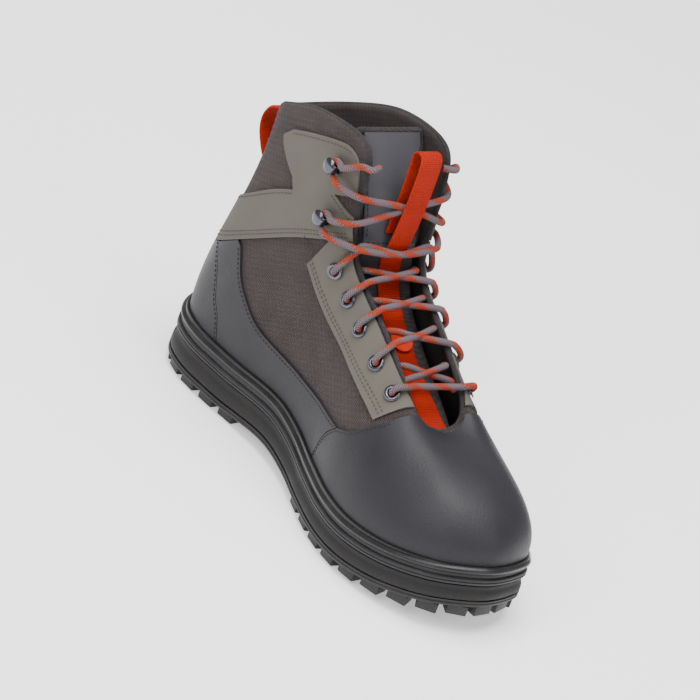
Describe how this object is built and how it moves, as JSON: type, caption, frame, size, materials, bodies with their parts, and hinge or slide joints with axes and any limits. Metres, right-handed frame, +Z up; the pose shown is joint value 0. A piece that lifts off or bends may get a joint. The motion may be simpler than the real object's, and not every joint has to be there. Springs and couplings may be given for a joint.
{
  "type": "wading boot",
  "caption": "Left lace-up wading boot: lugged rubber sole, hollow padded upper with overlays, tongue, eyelets, hooks, laces and pull loops.",
  "frame": {"origin": "on the ground at the middle of the centre heel lug", "axes": "+X to the toe along the sole, +Y to the outer (lateral) side, +Z up"},
  "size_m": [0.3177, 0.1186, 0.2077],
  "materials": {
    "black_rubber": "matte",
    "foam": "matte",
    "grey_rubber": "matte",
    "insole_foam": "matte",
    "charcoal_synthetic": "matte",
    "woven_mesh": "matte",
    "sage_nubuck": "matte",
    "tongue_fabric": "matte",
    "tongue_facing": "matte",
    "orange_webbing": "matte",
    "orange_rubber": "matte",
    "gunmetal": "polished",
    "braided_cord": "matte"
  },
  "bodies": {
    "root": {"outsole": "black_rubber", "storm_welt": "black_rubber", "midsole": "foam", "foxing": "grey_rubber", "insole": "insole_foam", "toe_cap": "charcoal_synthetic", "rand_inner": "charcoal_synthetic", "rand_outer": "charcoal_synthetic", "heel_counter": "charcoal_synthetic", "upper": "woven_mesh", "ankle_band": "sage_nubuck", "eyestay_inner": "sage_nubuck", "eyestay_outer": "sage_nubuck", "tongue": "tongue_fabric", "tongue_panel": "tongue_facing", "tongue_strap": "orange_webbing", "heel_loop": "orange_webbing", "strap_keeper": "orange_webbing", "sole_inlay": "orange_rubber", "eyelet_inner_1": "gunmetal", "eyelet_inner_2": "gunmetal", "eyelet_inner_3": "gunmetal", "eyelet_inner_4": "gunmetal", "eyelet_inner_5": "gunmetal", "eyelet_outer_1": "gunmetal", "eyelet_outer_2": "gunmetal", "eyelet_outer_3": "gunmetal", "eyelet_outer_4": "gunmetal", "eyelet_outer_5": "gunmetal", "hook_inner_1": "gunmetal", "hook_inner_2": "gunmetal", "hook_outer_1": "gunmetal", "hook_outer_2": "gunmetal", "lace_bar": "braided_cord", "lace_cross_1": "braided_cord", "lace_cross_2": "braided_cord", "lace_cross_3": "braided_cord", "lace_cross_4": "braided_cord", "lace_top": "braided_cord"}
  },
  "joints": []
}
